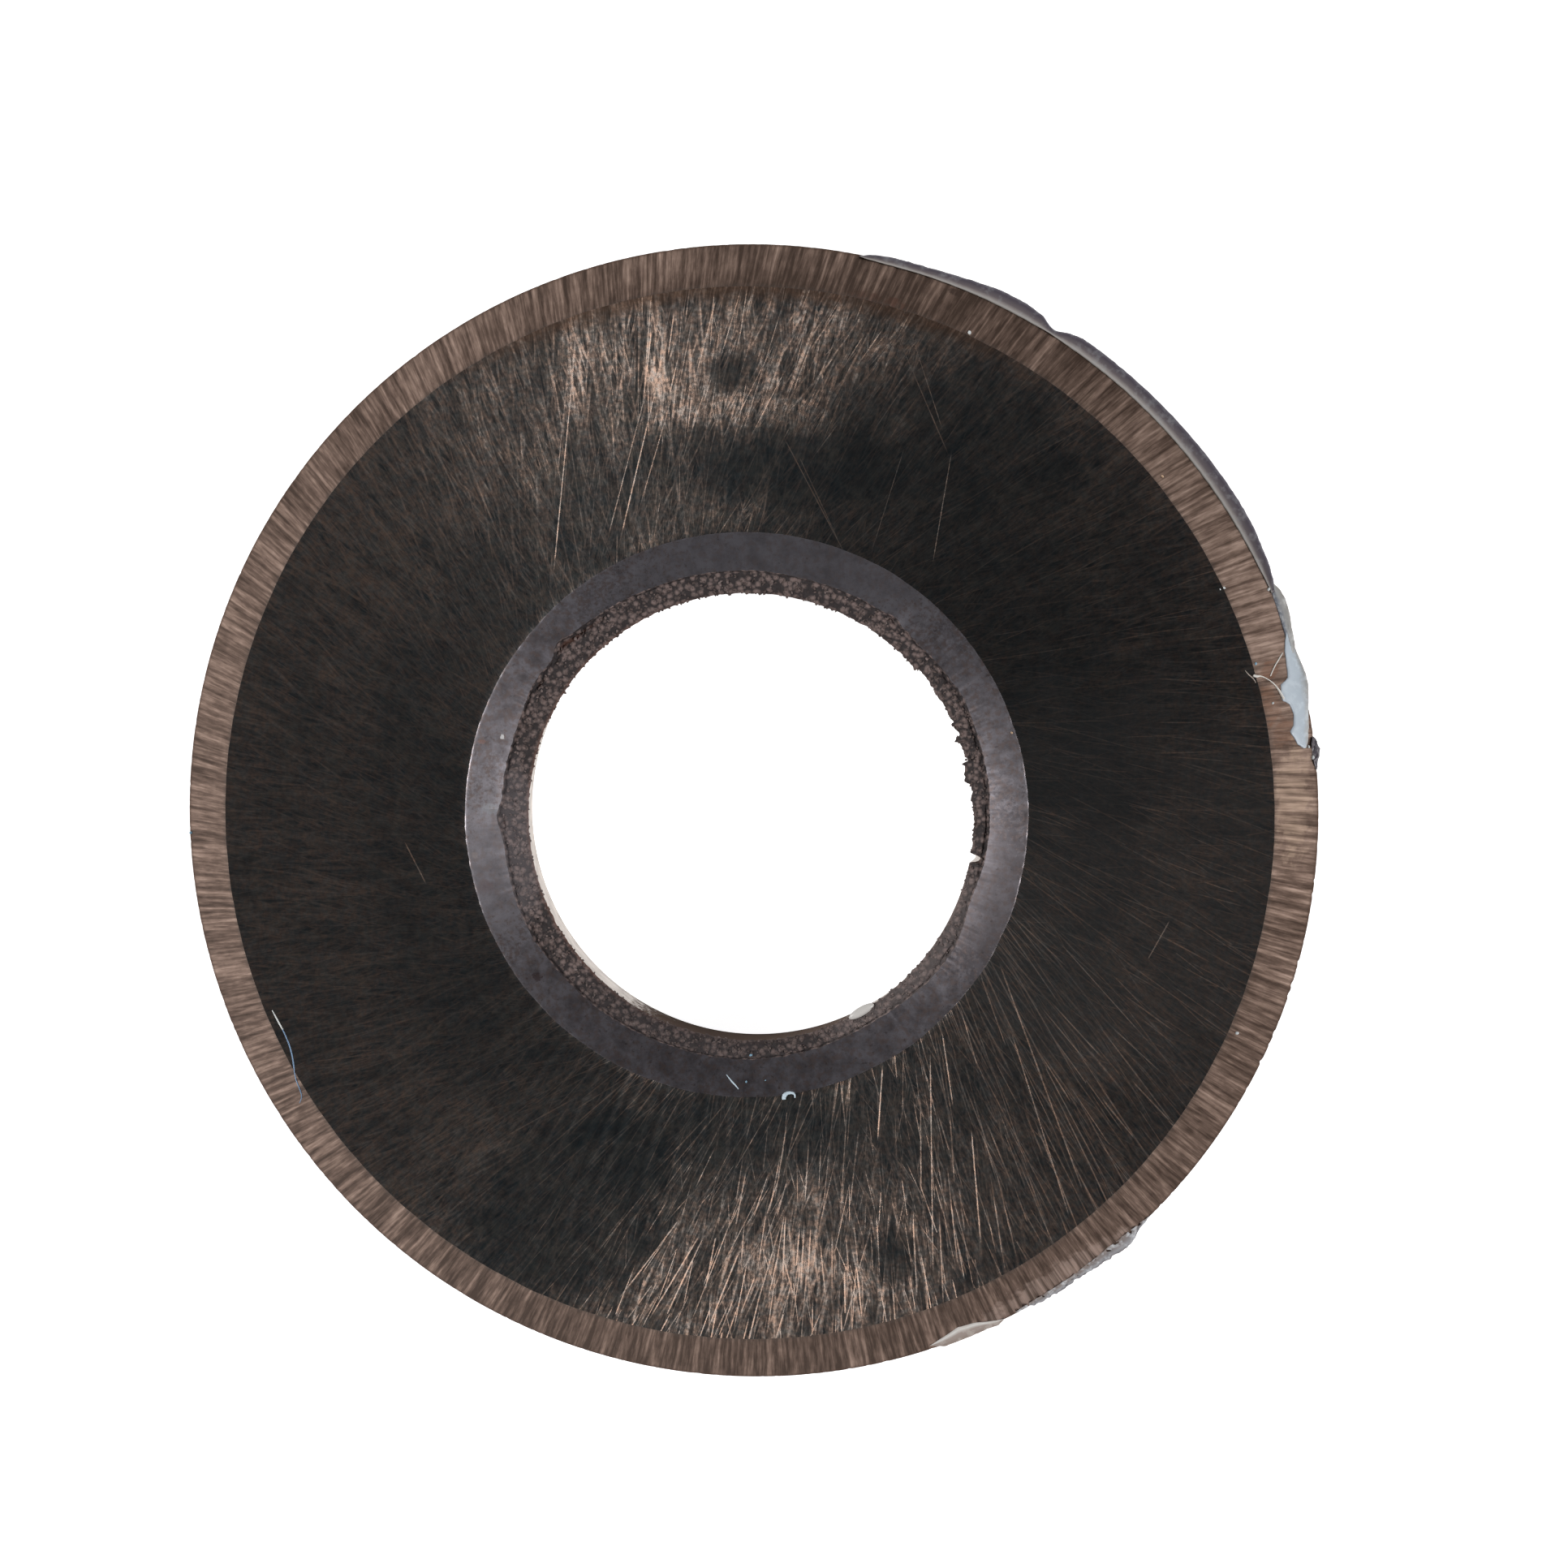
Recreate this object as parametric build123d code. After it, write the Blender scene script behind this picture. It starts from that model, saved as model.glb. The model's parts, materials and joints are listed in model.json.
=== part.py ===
from build123d import *
import os
from math import cos, radians, sin, tan

# Scoring wheel of a tile cutter. It is one ring of cemented tungsten carbide, pressed and
# sintered as a blank and then ground on both sides, so it has no other pieces.
# It lies flat on one of its two hub faces. The origin is the centre of the bore, half-way
# through the thickness, and +Z runs along the bore.
# Lengths are in millimetres and angles in degrees.

# The blank.
wheel_diameter = 15.0
wheel_thickness = 1.5

# The bore turns on the pin of the cutter's holder, and has a worn chamfer at both mouths.
bore_diameter = 6.0
chamfer_width = 0.13
chamfer_depth = 0.09

# The cutting edge: a ground bevel on each side, and a ridge that use has dulled a little.
edge_angle = 84.0
bevel_width = 0.55
ridge_height = 0.03

# The flat ring round the bore is left as sintered, and the holder's cheeks run against it.
# From its rim the ground side falls away in a shallow cone to the bevel.
hub_diameter = 7.44

# Round the upper mouth the hub face has crumbled away in a shallow uneven step.
crumble_width = 0.215
crumble_depth = 0.035

# Where the step's broken lip runs: its width as a share of crumble_width, by azimuth from +X.
lip_share_by_angle = {
    0: 0.93,
    17: 1.00,
    28: 1.12,
    45: 0.86,
    53: 1.16,
    75: 0.88,
    110: 0.99,
    125: 1.16,
    133: 1.32,
    138: 1.62,
    142: 1.18,
    148: 1.28,
    160: 1.02,
    176: 1.06,
    181: 1.33,
    187: 1.00,
    208: 1.17,
    222: 1.02,
    250: 0.92,
    270: 0.97,
    300: 0.83,
    326: 1.12,
    340: 0.70,
    350: 0.87,
}


def half_section():
    """Upper half of the wheel's section as (radius, height) points, from the bore outwards."""
    bore_radius = bore_diameter / 2
    wheel_radius = wheel_diameter / 2
    half_thickness = wheel_thickness / 2
    bevel_rise = bevel_width * tan(radians(edge_angle / 2))
    return [
        (bore_radius, 0),
        (bore_radius, half_thickness - chamfer_depth),
        (bore_radius + chamfer_width, half_thickness),
        (hub_diameter / 2, half_thickness),
        (wheel_radius - bevel_width, ridge_height / 2 + bevel_rise),
        (wheel_radius, ridge_height / 2),
        (wheel_radius, 0),
    ]


def lip_points():
    """Points of the broken lip in the plane of the hub face."""
    points = []
    for azimuth, share in lip_share_by_angle.items():
        radius = bore_diameter / 2 + crumble_width * share
        points.append((radius * cos(radians(azimuth)), radius * sin(radians(azimuth))))
    return points


def cutting_wheel():
    """The turned wheel, mirrored in its mid-plane, with the crumbled step cut round its mouth."""
    with BuildPart() as wheel:
        with BuildSketch(Plane.XZ):
            with BuildLine():
                Polyline(*half_section(), close=True)
            make_face()
            mirror(about=Plane.XZ)
        revolve(axis=Axis.Z)
        with BuildSketch(Plane.XY.offset(wheel_thickness / 2)):
            with BuildLine():
                Spline(*lip_points(), periodic=True)
            make_face()
        extrude(amount=-crumble_depth, mode=Mode.SUBTRACT)
    return wheel.part


os.makedirs("parts", exist_ok=True)
wheel = cutting_wheel()
wheel.label = "cutting_wheel"
export_step(wheel, "parts/cutting_wheel.step")
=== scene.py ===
import json
from math import atan2, cos, hypot, pi, radians, sin, sqrt, tan

import bmesh
import bpy
import numpy
from mathutils import Matrix, Vector, noise


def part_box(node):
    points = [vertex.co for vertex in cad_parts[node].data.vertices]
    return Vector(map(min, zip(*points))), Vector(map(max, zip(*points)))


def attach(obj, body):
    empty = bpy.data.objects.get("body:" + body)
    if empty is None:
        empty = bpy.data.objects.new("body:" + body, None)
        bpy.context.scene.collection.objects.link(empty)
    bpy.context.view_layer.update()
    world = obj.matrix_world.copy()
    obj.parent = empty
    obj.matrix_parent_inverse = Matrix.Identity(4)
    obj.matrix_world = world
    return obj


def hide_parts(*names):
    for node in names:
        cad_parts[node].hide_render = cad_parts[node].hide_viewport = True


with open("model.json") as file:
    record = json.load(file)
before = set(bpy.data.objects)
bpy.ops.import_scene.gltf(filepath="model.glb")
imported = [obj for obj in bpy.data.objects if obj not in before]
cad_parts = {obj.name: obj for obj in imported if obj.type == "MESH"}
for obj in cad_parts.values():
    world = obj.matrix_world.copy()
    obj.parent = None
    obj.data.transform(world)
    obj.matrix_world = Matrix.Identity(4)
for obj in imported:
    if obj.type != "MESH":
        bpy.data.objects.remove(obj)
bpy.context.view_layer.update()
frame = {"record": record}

# The camera looks down on the wheel, a few degrees off the bore's axis, so that it sees the far
# side of the bore's wall. Its long lens keeps the rim nearly a circle.
mm = 0.001
photo_side = 1932
pixels_per_mm = 93.2
camera_azimuth = 30.0
camera_elevation = 83.7
camera_distance = 160.0
rim_centre_pixel = (925.9, 1000.4)


def placed(name, data):
    """A new object in the scene."""
    made = bpy.data.objects.new(name, data)
    bpy.context.scene.collection.objects.link(made)
    return made


def direction_to(azimuth, elevation):
    """The direction from the wheel to an azimuth and an elevation in degrees."""
    turn, rise = radians(azimuth), radians(elevation)
    return Vector((cos(rise) * cos(turn), cos(rise) * sin(turn), sin(rise)))


camera_data = bpy.data.cameras.new("studio_camera")
camera = placed("studio_camera", camera_data)
bpy.context.scene.camera = camera
view_width = photo_side / pixels_per_mm
camera_data.lens = camera_data.sensor_width * camera_distance / view_width
camera_data.clip_start = 0.02
camera_data.clip_end = 10.0
backwards = direction_to(camera_azimuth, camera_elevation)
upwards = (Vector((0, 1, 0)) - backwards * backwards.y).normalized()
rightwards = upwards.cross(backwards)
aim = Vector((
    (photo_side / 2 - rim_centre_pixel[0]) / pixels_per_mm,
    (rim_centre_pixel[1] - photo_side / 2) / pixels_per_mm,
    0,
))
camera.matrix_world = Matrix.Translation((aim + backwards * camera_distance) * mm) @ Matrix(
    (rightwards, upwards, backwards)
).transposed().to_4x4()

# The wheel: one ring of cemented carbide, pressed and sintered as a blank, then ground on both
# sides to a shallow cone and a steep bevel that meet the other side's in the cutting edge.
# The ring round the bore stays as sintered, and the bore's mouth has crumbled to a rough step.
_, box_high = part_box("cutting_wheel")
wheel_radius = box_high.x / mm
half_thickness = box_high.z / mm
bore = next(m for m in frame["record"]["mounts"] if m["name"] == "bore")
bore_radius = bore["dims"]["r_mm"]
hub_radius = 3.72
bevel_width = 0.55
edge_half_angle = 42
ridge_half_height = 0.015
base_radius = wheel_radius - bevel_width
bevel_rise = bevel_width * tan(radians(edge_half_angle))
base_height = ridge_half_height + bevel_rise
cone_fall = (half_thickness - base_height) / (base_radius - hub_radius)
chamfer_width = 0.13
chamfer_depth = 0.09
step_width = 0.215
step_depth = 0.035
rim_drop = 0.008
segments = 1296

# Where the crumbled step ends outwards, as a share of its width, by azimuth from +X.
lip_share_by_angle = {
    0: 0.93, 8: 0.98, 17: 1.0, 28: 1.12, 38: 0.98, 45: 0.86, 49: 0.95, 53: 1.16, 58: 0.98,
    75: 0.88, 90: 0.93, 110: 0.99, 125: 1.16, 133: 1.32, 138: 1.62, 142: 1.18, 148: 1.28,
    160: 1.02, 176: 1.06, 181: 1.33, 187: 1.0, 208: 1.17, 222: 1.02, 250: 0.92, 270: 0.97,
    300: 0.83, 326: 1.12, 340: 0.7, 350: 0.87,
}
# How far in the crust reaches, as a radius in mm.
crust_inner_by_angle = {
    1.7: 2.985, 7.8: 2.985, 9.0: 2.91, 9.8: 2.93, 12.8: 2.95, 13.4: 2.92, 14.1: 3.04, 15.3: 3.0,
    18.8: 2.975, 19.5: 2.905, 20.1: 2.94, 20.8: 3.01, 22.8: 2.99, 23.4: 2.95, 24.4: 2.985,
    32: 2.965, 38: 2.985, 40.2: 2.98, 41: 2.925, 42: 2.95, 55: 2.94, 90: 2.915, 135: 2.905,
    180: 2.895, 215: 2.915, 250: 2.955, 280: 2.995, 315: 3.0, 336: 3.03, 344: 3.01,
    347.9: 3.01, 348.7: 3.14, 349.8: 3.16, 350.7: 2.99, 352: 3.01, 356.4: 3.0, 358.4: 3.03,
}
# Where the crust has sunk beside the lip and leaves a dark gap: its depth in mm.
gap_depth_by_angle = {
    0: 0.025, 4: 0.01, 8: 0.03, 12: 0.02, 15: 0.0, 18: 0.035, 27: 0.02, 34: 0.035, 38: 0.0,
    51: 0.0, 53: 0.04, 56: 0.0, 60: 0.0, 122: 0.0, 128: 0.04, 137: 0.06, 141: 0.035, 144: 0.0,
    148: 0.045, 151: 0.0, 179: 0.0, 182: 0.04, 185: 0.0, 205: 0.0, 208: 0.035, 212: 0.0,
    316: 0.0, 325: 0.02, 334: 0.0, 348: 0.0, 353: 0.02,
}
# A splinter has come off the bore's wall below one spot of the mouth: its depth at the top.
chip_depth_by_angle = {0: 0.0, 348.0: 0.0, 348.9: 0.12, 349.6: 0.15, 350.3: 0.1, 350.9: 0.0}
chip_foot = -0.4


def by_angle(values, azimuth):
    """A value between the two nearest entries of a table that goes once round the wheel."""
    angles = sorted(values)
    azimuth %= 360
    after = next((a for a in angles if a > azimuth), angles[0])
    before = angles[angles.index(after) - 1]
    share = ((azimuth - before) % 360) / ((after - before) % 360)
    share = share * share * (3 - 2 * share)
    return values[before] + (values[after] - values[before]) * share


def wander(azimuth, radius, size, seed):
    """Smooth noise from -1 to 1 that closes round the wheel; size is in mm."""
    turn = radians(azimuth)
    return noise.noise(Vector((cos(turn) * radius / size, sin(turn) * radius / size, seed)))


def wall_radius(azimuth, height):
    """Radius of the bore's wall in mm; the chip narrows down to nothing at its foot."""
    share = max(0.0, (height - chip_foot) / (half_thickness - chip_foot))
    return bore_radius + by_angle(chip_depth_by_angle, azimuth) * share


def mouth(azimuth, crumbled):
    """Radius and height of the bore's mouth, from the wall up to the hub face, in mm."""
    edge_height = half_thickness - chamfer_depth
    if crumbled:
        lip = bore_radius + step_width * by_angle(lip_share_by_angle, azimuth)
        lip += 0.012 * wander(azimuth, lip, 0.09, 3) + 0.006 * wander(azimuth, lip, 0.03, 4)
        inner = by_angle(crust_inner_by_angle, azimuth)
        right_side = max(0.0, cos(radians(azimuth - 355))) ** 2
        inner += (0.008 + 0.016 * right_side) * wander(azimuth, inner, 0.14, 5)
        inner += (0.006 + 0.018 * right_side) * wander(azimuth, inner, 0.05, 6)
        gap = by_angle(gap_depth_by_angle, azimuth)
        depth = step_depth
        relief = 1.0
    else:
        lip = bore_radius + chamfer_width + 0.006 * wander(azimuth, 3.1, 0.3, 7)
        inner = bore_radius - 0.004
        gap = 0.0
        depth = 0.0
        relief = 0.25
    wall = wall_radius(azimuth, edge_height if crumbled else -edge_height)
    points = [
        (wall, edge_height - 0.09),
        (max(wall, (bore_radius + inner) / 2), edge_height - 0.055),
        (inner, edge_height - 0.03),
        (inner, edge_height - 0.005),
    ]
    crust_steps = 13
    for step in range(1, crust_steps + 1):
        share = step / crust_steps
        radius = inner + (lip - inner) * share
        chamfer_share = min(1.0, (radius - inner) / (chamfer_width * 0.9))
        height = edge_height + (half_thickness - depth - edge_height) * chamfer_share ** 0.7
        height -= gap * max(0.0, 1 - abs(share - 0.86) / 0.16)
        turn = radians(azimuth)
        place = Vector((radius * cos(turn), radius * sin(turn), height))
        grain = noise.noise(place / 0.07) * 0.013 + noise.noise(place / 0.028) * 0.008
        fade = min(1.0, 3 * share, 4 * (1 - share) + 0.25)
        points.append((radius, height + grain * relief * fade))
    points.append((lip + 0.004, half_thickness - 0.4 * depth))
    points.append((lip + 0.01, half_thickness - 0.1 * depth - 0.001))
    return points


def side(azimuth, crumbled):
    """One side of the wheel's section at an azimuth, as (material, radius, height) in mm."""
    up = 1 if crumbled else -1
    points = [("wall", wall_radius(azimuth, up * z), z) for z in (0.03, 0.2, 0.37, 0.5)]
    mouth_kind = "crust" if crumbled else "wall"
    points += [(mouth_kind, r, z) for r, z in mouth(azimuth, crumbled)]
    lip = points[-1][1]
    rim = hub_radius + 0.01 * wander(azimuth, hub_radius, 0.5, 8)
    rim += 0.004 * wander(azimuth, hub_radius, 0.08, 9)
    drop = rim_drop * max(0.15, 0.5 + 1.1 * wander(azimuth, hub_radius, 0.1, 12))
    for share in (0.02, 0.95):
        points.append(("hub", lip + (rim - 0.01 - lip) * share, half_thickness))
    points.append(("hub", rim - 0.008, half_thickness))
    points.append(("hub", rim - 0.004, half_thickness - 0.001))
    points.append(("cone", rim + 0.006, half_thickness - drop))
    points.append(("cone", rim + 0.01, half_thickness - drop - 0.001))
    for share in (0.03, 0.5, 0.97):
        radius = rim + (base_radius - rim) * share
        sunk = drop * (1 - share)
        points.append(("cone", radius, half_thickness - cone_fall * (radius - hub_radius) - sunk))
    base = base_radius + 0.006 * wander(azimuth, base_radius, 0.25, 10)
    for share in (0.0, 0.06, 0.3, 0.6, 0.9):
        radius = base + (wheel_radius - base) * share
        points.append(("bevel", radius, base_height - bevel_rise * share))
    worn_side = max(0.0, cos(radians(azimuth + 32))) ** 3
    nick = (0.01 + 0.02 * worn_side) * max(0.0, wander(azimuth, wheel_radius, 0.06, 11) - 0.1)
    points.append(("bevel", wheel_radius - nick, ridge_half_height))
    return points


def vertex_at(azimuth, radius, height):
    """A mesh vertex, in metres, from a place in mm."""
    turn = radians(azimuth)
    return (radius * cos(turn) * mm, radius * sin(turn) * mm, height * mm)


def faces_round(segments, rows, closed):
    """Faces between rows of vertices that go round the wheel, segment by segment."""
    faces = []
    for segment in range(segments):
        here = segment * rows
        there = (segment + 1) % segments * rows
        for row in range(rows if closed else rows - 1):
            after = (row + 1) % rows
            faces.append((here + row, there + row, there + after, here + after))
    return faces


materials_in_order = ["wall", "crust", "hub", "cone", "bevel"]
vertices = []
for segment in range(segments):
    azimuth = 360 * segment / segments
    upper = side(azimuth, True)
    lower = [(kind, r, -z) for kind, r, z in reversed(side(azimuth, False))]
    ring = upper + lower
    vertices += [vertex_at(azimuth, radius, height) for _, radius, height in ring]
faces = faces_round(segments, len(ring), True)
face_kinds = []
for row, (kind, _, _) in enumerate(ring):
    inner_kind = kind if row < len(upper) else ring[(row + 1) % len(ring)][0]
    face_kinds.append(materials_in_order.index(inner_kind))

wheel_mesh = bpy.data.meshes.new("cutting_wheel_ground")
wheel_mesh.from_pydata(vertices, [], faces)
wheel_mesh.polygons.foreach_set("material_index", face_kinds * segments)
wheel_mesh.polygons.foreach_set("use_smooth", [True] * len(faces))
wheel_mesh.set_sharp_from_angle(angle=radians(28))
wheel = placed("cutting_wheel_ground", wheel_mesh)


def colour(hex_value):
    """A linear RGBA colour from an sRGB hex value such as 8a7b6f."""
    parts = [int(hex_value[i:i + 2], 16) / 255 for i in (0, 2, 4)]
    return [p / 12.92 if p <= 0.04045 else ((p + 0.055) / 1.055) ** 2.4 for p in parts] + [1]


def add(tree, kind, sockets=(), **settings):
    """Adds a node, a shader node where its kind names no other. Settings are its properties, and
    sockets are its inputs' values, in order or by key: a hex colour, a link, or another node,
    whose live output is linked."""
    made = tree.nodes.new(kind if "Node" in kind else "ShaderNode" + kind)
    for name, value in settings.items():
        setattr(made, name, value)
    for key, value in sockets.items() if isinstance(sockets, dict) else enumerate(sockets):
        if isinstance(value, bpy.types.Node):
            value = next(output for output in value.outputs if output.enabled)
        if isinstance(value, bpy.types.NodeSocket):
            tree.links.new(value, made.inputs[key])
        elif made.inputs[key].type == "RGBA":
            made.inputs[key].default_value = colour(value)
        else:
            made.inputs[key].default_value = value
    return made


def new_material(name):
    """An empty material and its node tree."""
    material = bpy.data.materials.new(name)
    material.use_nodes = True
    material.node_tree.nodes.clear()
    return material, material.node_tree


def surfaced(tree, sockets):
    """Ends a material in one surface with these values."""
    surface = add(tree, "BsdfPrincipled", sockets)
    add(tree, "OutputMaterial", [surface])


def place_in_mm(tree):
    """The surface point in millimetres."""
    coordinates = add(tree, "TexCoord")
    return add(
        tree, "VectorMath", {0: coordinates.outputs["Object"], "Scale": 1 / mm}, operation="SCALE"
    )


def place_parts(tree):
    """The surface point's x, y and z in millimetres."""
    return add(tree, "SeparateXYZ", [place_in_mm(tree)]).outputs


def wheel_point(tree):
    """The surface point in mm without its height, and its distance from the axis."""
    flat = add(tree, "VectorMath", [place_in_mm(tree), (1, 1, 0)], operation="MULTIPLY")
    radius = add(tree, "VectorMath", [flat], operation="LENGTH").outputs["Value"]
    return flat, radius


def grinding_lines(tree, miss):
    """Straight grinding lines that all pass the axis at `miss` mm. Gives the angle that tells
    one line from the next, the distance along it, and the direction square to it."""
    flat, radius = wheel_point(tree)
    lean = add(tree, "Math", [-miss, radius], operation="DIVIDE")
    lean = add(tree, "Math", [lean], operation="ARCSINE")
    direction = add(tree, "VectorRotate", {"Vector": flat, "Angle": lean}, rotation_type="Z_AXIS")
    parts = add(tree, "SeparateXYZ", [direction])
    angle = add(tree, "Math", [parts.outputs["Y"], parts.outputs["X"]], operation="ARCTAN2")
    squared = add(tree, "Math", [radius, radius, -miss * miss], operation="MULTIPLY_ADD")
    along = add(tree, "Math", [squared], operation="SQRT")
    square_to = add(tree, "VectorMath", [(0, 0, 1), direction], operation="CROSS_PRODUCT")
    return angle, along, square_to


def line_pattern(tree, lines, across, length, seed):
    """Coordinates whose unit cell is `across` mm wide, at the cone's middle, and `length` long."""
    angle, along, _ = lines
    sideways = add(tree, "Math", [angle, cone_middle / across], operation="MULTIPLY")
    lengthways = add(tree, "Math", [along, 1 / length, seed], operation="MULTIPLY_ADD")
    return add(tree, "CombineXYZ", {"X": sideways, "Y": lengthways, "Z": seed})


def fibres(tree, lines, across, length, seed, detail=3.0):
    """Noise drawn out along the grinding lines."""
    place = line_pattern(tree, lines, across, length, seed)
    return add(
        tree, "TexNoise", {"Vector": place, "Scale": 1.0, "Detail": detail, "Roughness": 0.6},
        noise_dimensions="2D",
    ).outputs["Fac"]


def scratches(tree, lines, across, length, width, kept, seed):
    """Mask of single scratches, one to a cell in the share `kept` of all cells."""
    place = line_pattern(tree, lines, across, length, seed)
    cells = add(tree, "TexVoronoi", {"Vector": place, "Scale": 1.0}, voronoi_dimensions="2D")
    offset = add(tree, "VectorMath", [place, cells.outputs["Position"]], operation="SUBTRACT")
    offset = add(tree, "SeparateXYZ", [offset])
    chance = add(tree, "SeparateColor", [cells.outputs["Color"]])
    slope = add(tree, "Math", [chance.outputs[0], 0.9, -0.45], operation="MULTIPLY_ADD")
    slanted = add(
        tree, "Math", [offset.outputs["Y"], slope, offset.outputs["X"]], operation="MULTIPLY_ADD"
    )
    half_width = add(tree, "Math", [chance.outputs[1], 0.5, 0.5], operation="MULTIPLY_ADD")
    narrowing = add(tree, "Math", [0.5 * width * cone_middle / across, lines[1]], operation="DIVIDE")
    half_width = add(tree, "Math", [half_width, narrowing], operation="MULTIPLY")
    slanted = add(tree, "Math", [slanted], operation="ABSOLUTE")
    slanted = add(tree, "Math", [slanted, half_width], operation="DIVIDE")
    line = add(tree, "MapRange", [slanted, 1.0, 0.0], interpolation_type="SMOOTHSTEP")
    taper = add(tree, "Math", [offset.outputs["Y"]], operation="ABSOLUTE")
    taper = add(tree, "MapRange", [taper, 0.6, 0.2], interpolation_type="SMOOTHSTEP")
    chosen = add(tree, "MapRange", [chance.outputs[2], 1 - kept, 1.0])
    scratch = add(tree, "Math", [line, taper], operation="MULTIPLY")
    return add(tree, "Math", [scratch, chosen], operation="MULTIPLY")


def speckle(tree, scale, detail, roughness=0.6):
    """Noise with `scale` waves to the millimetre."""
    return add(
        tree, "TexNoise",
        {"Vector": place_in_mm(tree), "Scale": scale, "Detail": detail, "Roughness": roughness},
    ).outputs["Fac"]


def seen_from(tree, centre, turn):
    """The surface point in mm from a centre, along axes that are turned by an angle."""
    offset = add(tree, "VectorMath", [wheel_point(tree)[0], (*centre, 0)], operation="SUBTRACT")
    return add(tree, "VectorRotate", {"Vector": offset, "Angle": -turn}, rotation_type="Z_AXIS")


def spot(tree, centre, half_sizes, turn=0.0, ragged=0.5, grain=4.0):
    """Mask of one ragged patch on the wheel: 1 in its middle and 0 outside it. The centre and
    the half sizes are in mm, and turn is the angle of the first half size from +X."""
    scaled = seen_from(tree, centre, radians(turn))
    scaled = add(tree, "VectorMath", [scaled, (*half_sizes, 1)], operation="DIVIDE")
    reach = add(tree, "VectorMath", [scaled], operation="LENGTH").outputs["Value"]
    edge = add(tree, "Math", [speckle(tree, grain, 3.0), ragged * 2, -ragged], operation="MULTIPLY_ADD")
    reach = add(tree, "Math", [reach, edge], operation="ADD")
    return add(tree, "MapRange", [reach, 1.2, 0.7], interpolation_type="SMOOTHSTEP")


def stained_and_shaded(tree, own_colour, stains, ragged, grain, through=1.0):
    """A colour with ragged patches on it, stains and, on the hub, one patch of painted shade, each
    given as its centre, half sizes, turn, colour and share; `through` thins them all out. A Mix node's
    two colours are its inputs 6 and 7."""
    for centre, half_sizes, turn, hex_value, share in stains:
        mask = spot(tree, centre, half_sizes, turn, ragged, grain)
        mask = add(tree, "Math", [mask, through], operation="MULTIPLY")
        mask = add(tree, "Math", [mask, share], operation="MULTIPLY")
        own_colour = add(tree, "Mix", {0: mask, 6: own_colour, 7: hex_value}, data_type="RGBA")
    return own_colour


def long_scratch(tree, start, end, width):
    """Mask and heading of one straight scratch between two points on the wheel, in mm."""
    run = Vector(end) - Vector(start)
    middle = (Vector(end) + Vector(start)) / 2
    turn = atan2(run.y, run.x)
    parts = add(tree, "SeparateXYZ", [seen_from(tree, middle, turn)])
    line = add(tree, "Math", [parts.outputs["Y"]], operation="ABSOLUTE")
    line = add(tree, "MapRange", [line, width / 2, 0.0], interpolation_type="SMOOTHSTEP")
    half = run.length / 2
    taper = add(tree, "Math", [parts.outputs["X"]], operation="ABSOLUTE")
    taper = add(tree, "MapRange", [taper, half, 0.6 * half], interpolation_type="SMOOTHSTEP")
    return add(tree, "Math", [line, taper], operation="MULTIPLY"), turn


# Ground carbide of the cone: dark grey metal under fine crossing scratches. Between them it is
# smooth and shows the dark room overhead; a scratch throws light square to its own direction.
cone_material, tree = new_material("ground_carbide_cone")
cone_middle = 5.3
main_lines = grinding_lines(tree, 1.5)
swerve = add(tree, "MapRange", [fibres(tree, main_lines, 0.03, 0.9, 83.0, 1.0), 0.3, 0.7, -0.1, 0.1])
heading = add(tree, "Math", [main_lines[0], swerve], operation="ADD")

# The close texture: soft lines in four directions that miss the axis by up to 3 mm.
wear = 0.0
for miss, across, length, strength, seed in (
    (1.5, 0.045, 1.6, 1.0, 0.0),
    (2.7, 0.05, 0.9, 1.0, 5.0),
    (0.3, 0.05, 0.9, 1.0, 9.0),
    (-0.9, 0.05, 0.6, 0.8, 19.0),
):
    fine = fibres(tree, grinding_lines(tree, miss), across, length, seed, 2.0)
    fine = add(tree, "MapRange", [fine, 0.42, 0.78, 0.0, strength])
    wear = add(tree, "Math", [wear, fine], operation="MAXIMUM")
across_x, across_y, _ = place_parts(tree)
clearer = add(tree, "MapRange", [across_y, 0.0, 4.0, 0.36, 0.44])
wear = add(tree, "Math", [wear, clearer, 0.06], operation="MULTIPLY_ADD")
# Single scratches, from long ones to short ones, which are fainter at the top and at the left.
fainter = add(tree, "MapRange", [across_y, -1.0, 4.0, 1.0, 0.72])
fainter_left = add(tree, "MapRange", [across_x, -1.5, -3.5, 1.0, 0.45])
fainter = add(tree, "Math", [fainter, fainter_left], operation="MULTIPLY")
for miss, across, length, width, kept, strength, seed in (
    (1.6, 0.22, 2.6, 0.042, 0.85, 1.0, 13.0),
    (2.2, 0.22, 1.5, 0.04, 0.85, 1.0, 23.0),
    (1.0, 0.17, 1.0, 0.038, 0.9, 1.0, 29.0),
    (1.7, 0.15, 0.7, 0.036, 0.9, 1.0, 57.0),
    (0.4, 0.17, 0.8, 0.036, 0.8, 0.75, 41.0),
    (-0.9, 0.17, 0.7, 0.036, 0.8, 0.6, 43.0),
    (2.7, 0.2, 0.8, 0.036, 0.8, 0.65, 67.0),
):
    mask = scratches(tree, grinding_lines(tree, miss), across, length, width, kept, seed)
    mask = add(tree, "Math", [mask, fainter], operation="MULTIPLY")
    mask = add(tree, "Math", [mask, strength], operation="MULTIPLY")
    wear = add(tree, "Math", [wear, mask], operation="MAXIMUM")
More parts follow.
